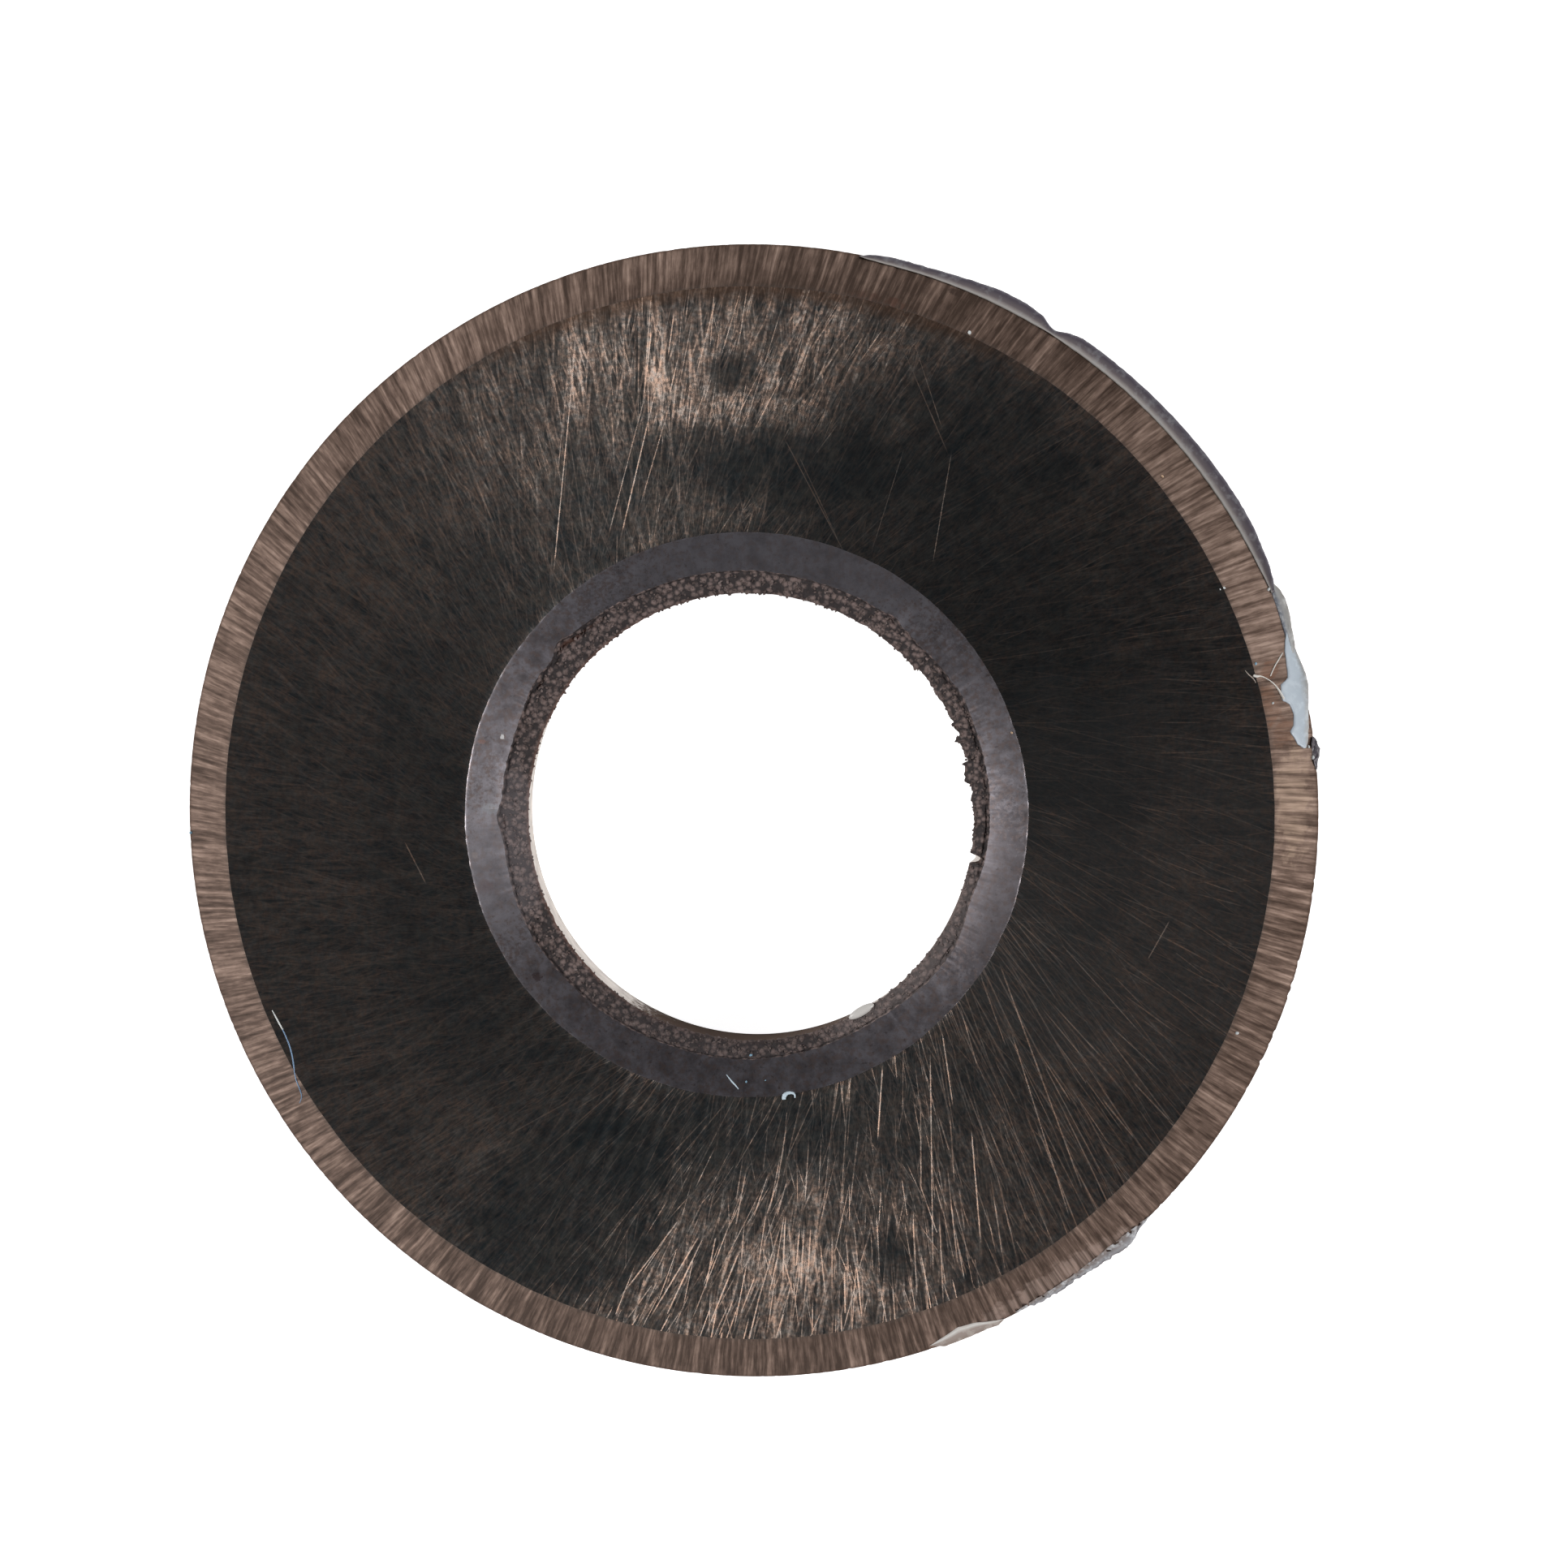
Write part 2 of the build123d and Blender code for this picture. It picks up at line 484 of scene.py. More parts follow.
# A fan of deeper ones, with brown dirt in them, runs down from one side of the hub.
fan = 0.0
for miss, across, length, seed in ((2.0, 0.13, 2.2, 91.0), (1.5, 0.1, 1.1, 97.0)):
    mask = scratches(tree, grinding_lines(tree, miss), across, length, 0.04, 0.85, seed)
    fan = add(tree, "Math", [fan, mask], operation="MAXIMUM")
fan = add(tree, "Math", [fan, spot(tree, (3.7, -3.1), (3.1, 1.6), -50.0, 0.3)], operation="MULTIPLY")
wear = add(tree, "Math", [wear, fan], operation="MAXIMUM")
dots = add(tree, "MapRange", [speckle(tree, 20.0, 3.0), 0.34, 0.66, 0.65, 1.2])
patches = add(tree, "MapRange", [speckle(tree, 1.6, 4.0), 0.32, 0.64, 0.7, 1.1])
bands = fibres(tree, main_lines, 0.24, 3.0, 71.0, 1.0)
bands = add(tree, "MapRange", [bands, 0.3, 0.7, 0.86, 1.1])
# Beyond this ragged ring the last grinding pass has bitten harder.
last_pass = add(
    tree, "Math", [speckle(tree, 1.1, 2.0), 0.8, wheel_point(tree)[1]], operation="MULTIPLY_ADD"
)
last_pass = add(tree, "MapRange", [last_pass, 5.2, 5.9, 0.66, 1.0], interpolation_type="SMOOTHSTEP")
# One side has been rubbed smoother, so that the lines are faint there.
rubbed = spot(tree, (3.6, 2.75), (3.6, 2.3), 132.0, 0.3, 1.5)
unrubbed = add(tree, "Math", [rubbed, -0.4, 1.0], operation="MULTIPLY_ADD")
for factor in (dots, patches, bands, last_pass, unrubbed):
    wear = add(tree, "Math", [wear, factor], operation="MULTIPLY")
# Marks that stand out in the texture: dull blotches and brighter bundles. The first two, a dark arch
# and a dark patch to its right, are painted shade, and the fourth, a bright arc above them, is a
# painted highlight.
for centre, half_sizes, turn, strength in (
    ((1.0, 4.55), (1.5, 0.5), 0.0, -0.45),
    ((3.2, 4.9), (1.3, 0.9), -45.0, -0.4),
    ((-0.15, 5.85), (0.28, 0.3), 90.0, -0.45),
    ((0.05, 5.3), (1.0, 0.22), 0.0, 0.35),
    ((-2.3, 5.9), (0.75, 0.16), 95.0, 0.25),
    ((-1.15, 5.75), (0.7, 0.25), 95.0, 0.25),
    ((1.95, -5.85), (0.4, 0.32), 80.0, -0.5),
    ((-0.55, -6.05), (0.35, 0.22), 60.0, -0.2),
    ((0.7, -5.6), (0.85, 0.3), 80.0, 0.3),
    ((0.3, -6.4), (1.9, 0.7), 0.0, 0.4),
    ((2.1, -6.2), (0.8, 0.8), 0.0, 0.3),
    ((0.4, -5.3), (1.3, 1.1), 0.0, 0.25),
    ((0.0, 6.15), (2.4, 0.7), 0.0, 0.25),
    ((-2.3, -5.2), (1.6, 1.1), 35.0, -0.55),
    ((-0.3, -4.15), (1.9, 0.55), 0.0, -0.35),
):
    mask = spot(tree, centre, half_sizes, turn)
    change = add(tree, "Math", [mask, strength, 1.0], operation="MULTIPLY_ADD")
    wear = add(tree, "Math", [wear, change], operation="MULTIPLY")
# The long scratches that run across the others, from where they start to where they end.
for start, end, width, strength in (
    ((-2.25, 6.45), (-2.57, 2.95), 0.03, 0.65),
    ((-2.33, 6.3), (-2.52, 4.3), 0.025, 0.5),
    ((1.88, 6.53), (2.7, 4.65), 0.028, 0.45),
    ((2.11, 6.48), (2.62, 4.95), 0.024, 0.4),
    ((0.41, 5.12), (1.35, 3.36), 0.026, 0.5),
    ((0.64, 4.83), (1.26, 3.53), 0.022, 0.4),
    ((-1.06, 6.24), (-1.71, 3.42), 0.034, 0.75),
    ((-1.25, 5.9), (-1.88, 3.45), 0.028, 0.6),
    ((-0.85, 6.0), (-1.45, 3.9), 0.028, 0.6),
    ((2.72, 4.9), (2.44, 3.2), 0.022, 0.35),
    ((2.11, 4.94), (1.64, 3.42), 0.02, 0.25),
    ((1.81, -3.23), (1.73, -4.36), 0.032, 0.9),
    ((2.43, -2.86), (2.46, -6.4), 0.03, 0.7),
    ((2.58, -2.78), (2.74, -3.9), 0.03, 0.8),
    ((2.81, -2.45), (3.08, -3.4), 0.03, 0.8),
    ((3.08, -3.3), (4.2, -5.5), 0.03, 0.85),
    ((2.96, -4.0), (3.1, -5.8), 0.034, 0.8),
    ((3.08, -2.05), (3.45, -3.1), 0.028, 0.75),
    ((3.26, -1.7), (4.52, -5.18), 0.036, 1.0),
    ((3.44, -2.65), (4.32, -5.5), 0.03, 0.95),
    ((3.55, -1.5), (4.31, -2.64), 0.026, 0.5),
    ((4.13, -3.15), (5.16, -4.6), 0.028, 0.65),
    ((4.46, -2.21), (5.7, -3.79), 0.026, 0.45),
    ((4.56, -2.69), (5.45, -4.2), 0.026, 0.45),
    ((5.6, -1.33), (5.27, -1.92), 0.026, 0.6),
    ((2.74, -5.4), (2.88, -6.2), 0.03, 0.7),
    ((0.55, -4.0), (0.35, -5.2), 0.03, 0.6),
    ((-4.56, -0.34), (-4.23, -0.98), 0.03, 0.9),
):
    mask, own_heading = long_scratch(tree, start, end, width)
    mask = add(tree, "Math", [mask, dots], operation="MULTIPLY")
    inside = add(tree, "Math", [mask, 0.3], operation="GREATER_THAN")
    heading = add(tree, "Mix", {0: inside, 2: heading, 3: own_heading})
    mask = add(tree, "Math", [mask, strength], operation="MULTIPLY")
    wear = add(tree, "Math", [wear, mask], operation="MAXIMUM")
square_x = add(tree, "Math", [heading], operation="SINE")
square_x = add(tree, "Math", [square_x, -1.0], operation="MULTIPLY")
square_y = add(tree, "Math", [heading], operation="COSINE")
square_to = add(tree, "CombineXYZ", {"X": square_x, "Y": square_y})
# Smears make the bare metal uneven in tone, and brown dirt is left below the bevel on one side.
rim_dirt = add(
    tree, "Math", [speckle(tree, 3.0, 3.0), 0.16, wheel_point(tree)[1]], operation="MULTIPLY_ADD"
)
rim_dirt = add(tree, "MapRange", [rim_dirt, 6.8, 6.98])
at_top = add(tree, "MapRange", [across_y, 5.6, 6.4])
rim_dirt = add(tree, "Math", [rim_dirt, at_top], operation="MULTIPLY")
cleaner = add(tree, "Math", [rim_dirt, -0.3, 1.0], operation="MULTIPLY_ADD")
wear = add(tree, "Math", [wear, cleaner], operation="MULTIPLY")
tint = add(tree, "MapRange", [speckle(tree, 11.0, 2.0), 0.42, 0.62])
scratch_colour = add(tree, "Mix", {0: tint, 6: "cea992", 7: "c0ada0"}, data_type="RGBA")
smears = add(tree, "MapRange", [speckle(tree, 3.0, 4.0), 0.38, 0.62])
bare_colour = add(tree, "Mix", {0: smears, 6: "374449", 7: "535654"}, data_type="RGBA")
stains = add(tree, "MapRange", [speckle(tree, 7.0, 4.0), 0.34, 0.6])
bare_colour = add(tree, "Mix", {0: stains, 6: "353d41", 7: bare_colour}, data_type="RGBA")
paler = spot(tree, (4.9, -0.9), (2.7, 2.7), 0.0, 0.5, 1.5)
paler = add(tree, "Math", [paler, 0.5], operation="MULTIPLY")
bare_colour = add(tree, "Mix", {0: paler, 6: bare_colour, 7: "6f7170"}, data_type="RGBA")
darker = add(tree, "Math", [rubbed, 0.2], operation="MULTIPLY")
bare_colour = add(tree, "Mix", {0: darker, 6: bare_colour, 7: "2b2d2e"}, data_type="RGBA")
bare_colour = add(tree, "Mix", {0: rim_dirt, 6: bare_colour, 7: "6b5649"}, data_type="RGBA")
metal_colour = add(tree, "Mix", {0: wear, 6: bare_colour, 7: scratch_colour}, data_type="RGBA")
# Dirt in the scratches keeps them a little lighter than the bare metal from every side.
metallic = add(tree, "Math", [wear, -0.05, 1.0], operation="MULTIPLY_ADD")
metallic = add(tree, "Math", [fan, -0.2, metallic], operation="MULTIPLY_ADD")
roughness = add(tree, "MapRange", [wear, 0.0, 1.0, 0.28, 0.46])
one_way = add(tree, "MapRange", [wear, 0.0, 0.5, 0.4, 0.95])
bump = add(tree, "Bump", {"Height": dots, "Strength": 0.3, "Distance": 0.001 * mm})
surfaced(tree, {
    "Base Color": metal_colour, "Metallic": metallic, "Roughness": roughness,
    "Anisotropic": one_way, "Tangent": square_to, "Normal": bump,
})


def with_stops(ramp, stops):
    """A colour ramp that runs through these stops."""
    elements = ramp.color_ramp.elements
    elements.remove(elements[1])
    for number, (place, hex_value) in enumerate(stops):
        stop = elements.new(place) if number else elements[0]
        stop.position = place
        stop.color = colour(hex_value)
    return ramp


# Ground carbide of the bevel: coarser, lighter grinding lines square to the cutting edge, with
# brown stains between them and a dark line of dirt at the edge itself.
bevel_material, tree = new_material("ground_carbide_bevel")
bevel_lines = grinding_lines(tree, 0.8)
lines = fibres(tree, bevel_lines, 0.055, 1.4, 3.0, 3.0)
bands = fibres(tree, bevel_lines, 0.2, 2.4, 11.0, 2.0)
stains = speckle(tree, 5.0, 4.0)
tone = add(tree, "Math", [bands, 0.35], operation="MULTIPLY")
tone = add(tree, "Math", [lines, 0.65, tone], operation="MULTIPLY_ADD")
tone = add(tree, "Math", [stains, 0.15, tone], operation="MULTIPLY_ADD")
short_lines = fibres(tree, bevel_lines, 0.03, 0.25, 17.0, 3.0)
tone = add(tree, "Math", [short_lines, 0.35, tone], operation="MULTIPLY_ADD")
across_x, across_y, _ = place_parts(tree)
radius = wheel_point(tree)[1]
# Painted shade makes it darker at the top and the bottom, and at the top its inner part most; painted
# light makes it brighter at the right and on two patches, and one more patch is darker.
painted_light_and_shade = add(tree, "Math", [across_y], operation="ABSOLUTE")
painted_light_and_shade = add(tree, "MapRange", [painted_light_and_shade, 3.5, 6.5, -0.25, -0.32])
painted_light_right = add(tree, "MapRange", [across_x, 6.3, 7.3, 0.0, 0.06])
painted_light_and_shade = add(tree, "Math", [painted_light_and_shade, painted_light_right], operation="ADD")
for centre, half_sizes, change in (
    ((-2.6, 6.3), (2.6, 1.8), 0.07), ((5.9, 3.6), (1.8, 2.4), 0.07),
    ((6.9, -2.2), (0.9, 1.8), -0.05),
):
    mask = spot(tree, centre, half_sizes, 0.0, 0.3, 2.0)
    painted_light_and_shade = add(tree, "Math", [mask, change, painted_light_and_shade], operation="MULTIPLY_ADD")
inwards = add(tree, "Math", [stains, 0.3, radius], operation="MULTIPLY_ADD")
inwards = add(tree, "MapRange", [inwards, 7.4, 7.1])
at_top = add(tree, "MapRange", [across_y, 6.0, 6.7])
inwards = add(tree, "Math", [inwards, at_top], operation="MULTIPLY")
painted_light_and_shade = add(tree, "Math", [inwards, -0.06, painted_light_and_shade], operation="MULTIPLY_ADD")
tone = add(tree, "Math", [tone, painted_light_and_shade], operation="ADD")
bevel_colour = with_stops(
    add(tree, "ValToRGB", [tone]),
    ((0.34, "43362f"), (0.48, "615047"), (0.6, "7f6b60"), (0.76, "a38d80")),
)
# Single stains, streaky as the lines.
streaky = add(tree, "MapRange", [lines, 0.38, 0.6, 0.15, 1.0])
bevel_colour = stained_and_shaded(tree, bevel_colour, (
    ((4.02, -6.19), (1.2, 0.17), 33.0, "a08c82", 0.5),
    ((6.87, 1.9), (0.16, 0.1), 60.0, "6e4630", 0.5),
    ((6.8, 1.45), (0.3, 0.2), 100.0, "75503b", 0.45),
    ((7.06, 1.1), (0.2, 0.14), 100.0, "6f4a35", 0.4),
    ((2.7, 6.88), (0.1, 0.05), -25.0, "2a201d", 0.6),
    ((1.6, 6.78), (0.24, 0.1), -12.0, "4a342c", 0.6),
    ((1.95, 6.72), (0.16, 0.07), -15.0, "4f362d", 0.6),
    ((7.18, 0.2), (0.75, 0.22), 90.0, "b8a08b", 0.4),
), 0.9, 7.0, streaky)
soft_base = add(tree, "Math", [lines, 0.12, radius], operation="MULTIPLY_ADD")
soft_base = add(tree, "MapRange", [soft_base, 7.06, 6.99, 0.0, 0.6])
bevel_colour = add(tree, "Mix", {0: soft_base, 6: bevel_colour, 7: "4b423d"}, data_type="RGBA")
edge_dirt = add(tree, "MapRange", [radius, wheel_radius - 0.04, wheel_radius - 0.005, 0.0, 0.7])
bevel_colour = add(tree, "Mix", {0: edge_dirt, 6: bevel_colour, 7: "4a382f"}, data_type="RGBA")
bump = add(tree, "Bump", {"Height": tone, "Strength": 0.5, "Distance": 0.006 * mm})
surfaced(tree, {
    "Base Color": bevel_colour, "Metallic": 1.0, "Roughness": 0.42,
    "Anisotropic": 0.55, "Tangent": bevel_lines[2], "Normal": bump,
})

# Carbide as it left the sintering furnace: satin blue-grey skin with brown specks and pinholes.
hub_material, tree = new_material("sintered_carbide_hub")
mottle = speckle(tree, 5.0, 6.0, 0.65)
paler = add(tree, "MapRange", [mottle, 0.34, 0.62])
hub_colour = add(tree, "Mix", {0: paler, 6: "6d6769", 7: "938e93"}, data_type="RGBA")
browned = add(tree, "MapRange", [speckle(tree, 13.0, 4.0), 0.48, 0.62, 0.0, 0.55])
hub_colour = add(tree, "Mix", {0: browned, 6: hub_colour, 7: "7e6c65"}, data_type="RGBA")
pinholes = add(tree, "MapRange", [speckle(tree, 17.0, 3.0), 0.4, 0.28, 0.0, 0.5])
hub_colour = add(tree, "Mix", {0: pinholes, 6: hub_colour, 7: "4c4341"}, data_type="RGBA")
hub_colour = stained_and_shaded(tree, hub_colour, (
    ((-2.77, -2.16), (0.07, 0.05), 0.0, "4b3029", 0.6),
    ((-3.46, -0.97), (0.1, 0.08), 0.0, "7c4a38", 0.22),
    ((-3.6, -0.55), (0.05, 0.04), 0.0, "a8958a", 0.45),
    ((-3.4, 0.06), (0.1, 0.07), 0.0, "a9b2b6", 0.28),
    ((-3.23, 1.01), (0.03, 0.03), 0.0, "e8e6e6", 0.8),
    ((-3.5, 0.95), (0.05, 0.03), 0.0, "a07565", 0.4),
    # Painted shade: the large darker patch on the right.
    ((3.25, -1.05), (0.7, 1.3), 0.0, "5c5658", 0.55),
    ((0.8, 3.35), (3.0, 1.1), 0.0, "b4b0b6", 0.26),
    ((-3.35, -0.7), (0.6, 1.2), 0.0, "b4b0b6", 0.24),
), 1.3, 26.0)
bump = add(tree, "Bump", {"Height": mottle, "Strength": 0.4, "Distance": 0.006 * mm})
outwards = add(tree, "VectorMath", [wheel_point(tree)[0]], operation="NORMALIZE")
surfaced(tree, {
    "Base Color": hub_colour, "Metallic": 1.0, "Roughness": 0.43,
    "Anisotropic": 0.55, "Tangent": outwards, "Normal": bump,
})

# The bed of the crumbled step: carbide broken to clods, with brown grinding dirt in the pits and
# a rusty line where it ends at the bore. Dirt darkens one side of it, and two others are paler.
mouth_stains = (
    ((-0.9, -3.0), (1.9, 1.0), 0.0, "2c2425", 0.35),
    ((2.3, -2.1), (1.3, 1.7), 0.0, "8f8380", 0.25),
    ((-3.05, -0.5), (0.4, 1.1), 0.0, "8d8588", 0.22),
)
crust_material, tree = new_material("crumbled_carbide_crust")
clods = add(
    tree, "TexVoronoi", {"Vector": place_in_mm(tree), "Scale": 13.0, "Randomness": 1.0}
).outputs["Distance"]
pits = add(tree, "Math", [speckle(tree, 22.0, 4.0, 0.7), 0.8, clods], operation="MULTIPLY_ADD")
raised = add(tree, "MapRange", [pits, 1.0, 0.6])
crust_colour = add(tree, "Mix", {0: raised, 6: "281f1f", 7: "7a6863"}, data_type="RGBA")
across_x, _, height = place_parts(tree)
# Painted shade: the crust darkens where it lies lowest, down its inner edge and in the gaps beside the
# lip.
shaded = add(tree, "MapRange", [height, 0.665, 0.63, 0.0, 0.8])
crust_colour = add(tree, "Mix", {0: shaded, 6: crust_colour, 7: "33231d"}, data_type="RGBA")
rusty = add(tree, "MapRange", [height, 0.69, 0.65])
rusty_left = add(tree, "MapRange", [across_x, -0.6, -2.0, 0.2, 0.85])
rusty = add(tree, "Math", [rusty, rusty_left], operation="MULTIPLY")
crust_colour = add(tree, "Mix", {0: rusty, 6: crust_colour, 7: "6a4536"}, data_type="RGBA")
crust_colour = stained_and_shaded(tree, crust_colour, mouth_stains, 0.4, 4.0)
bump = add(tree, "Bump", {"Height": pits, "Strength": 1.0, "Distance": 0.02 * mm}, invert=True)
surfaced(tree, {"Base Color": crust_colour, "Metallic": 0.0, "Roughness": 0.7, "Normal": bump})

# The bore's wall, rubbed bright by the pin, with crumbs of brown dirt baked on at one side.
wall_material, tree = new_material("rubbed_carbide_bore")
streak = add(tree, "MapRange", [speckle(tree, 4.0, 4.0), 0.3, 0.7])
wall_colour = add(tree, "Mix", {0: streak, 6: "9c938c", 7: "c9c1ba"}, data_type="RGBA")
across_y = place_parts(tree)[1]
baked_on = add(tree, "Math", [speckle(tree, 14.0, 4.0), 0.9], operation="MULTIPLY")
baked_on = add(tree, "Math", [baked_on, across_y], operation="SUBTRACT")
baked_on = add(tree, "MapRange", [baked_on, 2.95, 3.15])
wall_colour = add(tree, "Mix", {0: baked_on, 6: wall_colour, 7: "5d4a3f"}, data_type="RGBA")
metallic = add(tree, "MapRange", [baked_on, 0.0, 1.0, 1.0, 0.0])
roughness = add(tree, "MapRange", [baked_on, 0.0, 1.0, 0.5, 0.9])
surfaced(tree, {
    "Base Color": wall_colour, "Metallic": metallic, "Roughness": roughness,
    "Specular IOR Level": 0.1,
})

for material in (wall_material, crust_material, hub_material, cone_material, bevel_material):
    wheel_mesh.materials.append(material)
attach(wheel, "root")
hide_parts("cutting_wheel")

# Firm grains of broken carbide and brown dirt stand on the bed of the crumbled step. They
# overhang the bore a little, which makes its outline ragged.
grains_per_square_mm = 300.0
grain_radius = 0.02
grain_sunk = 0.006
grain_waves_per_mm = 32.0
grain_dent = 0.03
bed_segments = 288
bed_rows = (2, 3, 5, 7, 9, 11, 13, 15)
grain_material, tree = new_material("broken_carbide_grains")
tone = add(tree, "Attribute", attribute_name="grain_tone").outputs["Fac"]
smeared = speckle(tree, 9.0, 3.0)
smeared = add(tree, "Math", [smeared, 0.9], operation="MULTIPLY")
tone = add(tree, "Math", [tone, 0.45, smeared], operation="MULTIPLY_ADD")
brown = add(tree, "MapRange", [tone, 0.35, 0.75])
grain_colour = add(tree, "Mix", {0: brown, 6: "3a2f2d", 7: "5f504b"}, data_type="RGBA")
pale = add(tree, "MapRange", [tone, 0.75, 0.98])
grain_colour = add(tree, "Mix", {0: pale, 6: grain_colour, 7: "80716d"}, data_type="RGBA")
grain_colour = stained_and_shaded(tree, grain_colour, mouth_stains, 0.4, 4.0)
surfaced(tree, {"Base Color": grain_colour, "Metallic": 0.0, "Roughness": 0.75})

bed_vertices = []
for segment in range(bed_segments):
    azimuth = 360 * segment / bed_segments
    across = mouth(azimuth, True)
    for radius, height in (across[row] for row in bed_rows):
        bed_vertices.append(vertex_at(azimuth, radius, height - grain_sunk))
bed_mesh = bpy.data.meshes.new("crumbled_grains")
bed_mesh.from_pydata(bed_vertices, [], faces_round(bed_segments, len(bed_rows), False))
grains = placed("crumbled_grains", bed_mesh)

tree = bpy.data.node_groups.new("scatter_grains", "GeometryNodeTree")
for name, kind in (
    ("Bed", "Geometry"), ("Grains per square metre", "Float"), ("Grain radius", "Float"),
    ("Seed", "Int"), ("Material", "Material"),
):
    tree.interface.new_socket(name=name, in_out="INPUT", socket_type="NodeSocket" + kind)
tree.interface.new_socket(name="Grains", in_out="OUTPUT", socket_type="NodeSocketGeometry")
given = tree.nodes.new("NodeGroupInput").outputs
places = add(
    tree, "GeometryNodeDistributePointsOnFaces",
    {"Mesh": given["Bed"], "Density": given["Grains per square metre"], "Seed": given["Seed"]},
)
lump = add(tree, "GeometryNodeMeshIcoSphere", {"Radius": given["Grain radius"], "Subdivisions": 2})
turns = add(
    tree, "FunctionNodeRandomValue",
    {0: (0, 0, 0), 1: (2 * pi, 2 * pi, 2 * pi), "Seed": given["Seed"]}, data_type="FLOAT_VECTOR",
)
sizes = add(
    tree, "FunctionNodeRandomValue",
    {0: (0.5, 0.5, 0.35), 1: (1.35, 1.35, 0.9), "Seed": given["Seed"]}, data_type="FLOAT_VECTOR",
)
stood = add(tree, "GeometryNodeInstanceOnPoints", {
    "Points": places, "Instance": lump, "Rotation": turns, "Scale": sizes,
})
tones = add(tree, "FunctionNodeRandomValue", {"Seed": 5}, data_type="FLOAT")
toned = add(
    tree, "GeometryNodeStoreNamedAttribute",
    {"Geometry": stood, "Name": "grain_tone", "Value": tones}, data_type="FLOAT", domain="INSTANCE",
)
joined = add(tree, "GeometryNodeRealizeInstances", [toned])
place = add(tree, "GeometryNodeInputPosition")
place = add(tree, "VectorMath", {0: place, "Scale": 1 / mm}, operation="SCALE")
broken = add(
    tree, "TexNoise", {"Vector": place, "Scale": grain_waves_per_mm, "Detail": 1.0}
).outputs["Color"]
broken = add(tree, "VectorMath", [broken, (0.5, 0.5, 0.5)], operation="SUBTRACT")
broken = add(tree, "VectorMath", {0: broken, "Scale": grain_dent * mm}, operation="SCALE")
moved = add(tree, "GeometryNodeSetPosition", {0: joined, "Offset": broken})
rounded = add(tree, "GeometryNodeSetShadeSmooth", [moved])
painted = add(tree, "GeometryNodeSetMaterial", {0: rounded, "Material": given["Material"]})
add(tree, "NodeGroupOutput", [painted])

scatter = grains.modifiers.new("scatter_grains", "NODES")
scatter.node_group = tree
for name, value in (
    ("Grains per square metre", grains_per_square_mm / mm ** 2), ("Grain radius", grain_radius * mm),
    ("Seed", 4), ("Material", grain_material),
):
    scatter[tree.interface.items_tree[name].identifier] = value
evaluated = grains.evaluated_get(bpy.context.evaluated_depsgraph_get())
grains_mesh = bpy.data.meshes.new_from_object(evaluated)
grains.modifiers.clear()
grains.data = grains_mesh
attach(grains, "root")

# What the last jobs left on the cutting edge: clear sealant that has dried to a bead, a whitish
# smear with strings, a brittle flake, a crumbly film and a dark crumb. Each one is a thin strip.
def on_side(x, y):
    """Height of the wheel's upper side above a point, in mm."""
    radius = hypot(x, y)
    if radius < bore_radius + step_width:
        return half_thickness - step_depth
    if radius < hub_radius:
        return half_thickness
    if radius < base_radius:
        return half_thickness - cone_fall * (radius - hub_radius)
    return max(ridge_half_height, base_height - bevel_rise * (radius - base_radius) / bevel_width)


def residue_material(name, stops, fleck_value, fleck_share):
    """Dried sealant: its colour runs through `stops` from the inner side to the outer one."""
    material, tree = new_material(name)
    across = add(tree, "SeparateXYZ", [add(tree, "UVMap")])
    flecks = add(tree, "MapRange", [speckle(tree, 9.0, 4.0), 0.5, 0.66, 0.0, fleck_share])
    ramp = with_stops(add(tree, "ValToRGB", [across.outputs["X"]]), stops)
    tinted = add(tree, "Mix", {0: flecks, 6: ramp, 7: fleck_value}, data_type="RGBA")
    surfaced(tree, {"Base Color": tinted, "Roughness": 0.35, "IOR": 1.45, "Specular IOR Level": 0.4})
    return material


def rim_strip(name, inner_by_angle, outer_by_angle, thickness, ragged, material):
    """A thin strip on the cutting edge between two radii that change along it, in mm."""
    first, last = min(inner_by_angle), max(inner_by_angle)
    steps = round((last - first) / 0.25)
    shares = [(1 - cos(pi * number / 10)) / 2 for number in range(11)]
    strip = bmesh.new()
    share_layer = strip.loops.layers.uv.new("across")
    loops = []
    for step in range(steps + 1):
        azimuth = first + (last - first) * step / steps
        turn = radians(azimuth)
        inner = numpy.interp(azimuth, *zip(*inner_by_angle.items()))
        inner += 0.4 * ragged * wander(azimuth, 7.3, 0.1, 21)
        outer = numpy.interp(azimuth, *zip(*outer_by_angle.items()))
        outer += ragged * wander(azimuth, 7.5, 0.06, 22)
        outer = max(outer, inner + 0.004)
        upper = []
        lower = []
        for share in shares:
            radius = inner + (outer - inner) * share
            x, y = radius * cos(turn), radius * sin(turn)
            rise = thickness * sqrt(max(0.0, 1 - (2 * share - 1) ** 2))
            rise *= 1 + 2 * ragged / thickness * wander(azimuth, radius, 0.05, 23)
            top = on_side(x, y) + rise
            bottom = on_side(x, y) - 0.02 if radius < wheel_radius else -0.5 * top
            upper.append((share, strip.verts.new((x * mm, y * mm, top * mm))))
            lower.append((share, strip.verts.new((x * mm, y * mm, bottom * mm))))
        loops.append(upper + lower[::-1])
    for here, there in zip(loops, loops[1:]):
        for number in range(len(here)):
            after = (number + 1) % len(here)
            corners = (here[number], here[after], there[after], there[number])
            face = strip.faces.new([vertex for _, vertex in corners])
            face.smooth = True
            for loop, (share, _) in zip(face.loops, corners):
                loop[share_layer].uv = (share, 0.5)
    for loop in (loops[0], loops[-1]):
        strip.faces.new([vertex for _, vertex in loop])
    bmesh.ops.recalc_face_normals(strip, faces=strip.faces)
    mesh = bpy.data.meshes.new(name)
    strip.to_mesh(mesh)
    strip.free()
    mesh.materials.append(material)
    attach(placed(name, mesh), "root")
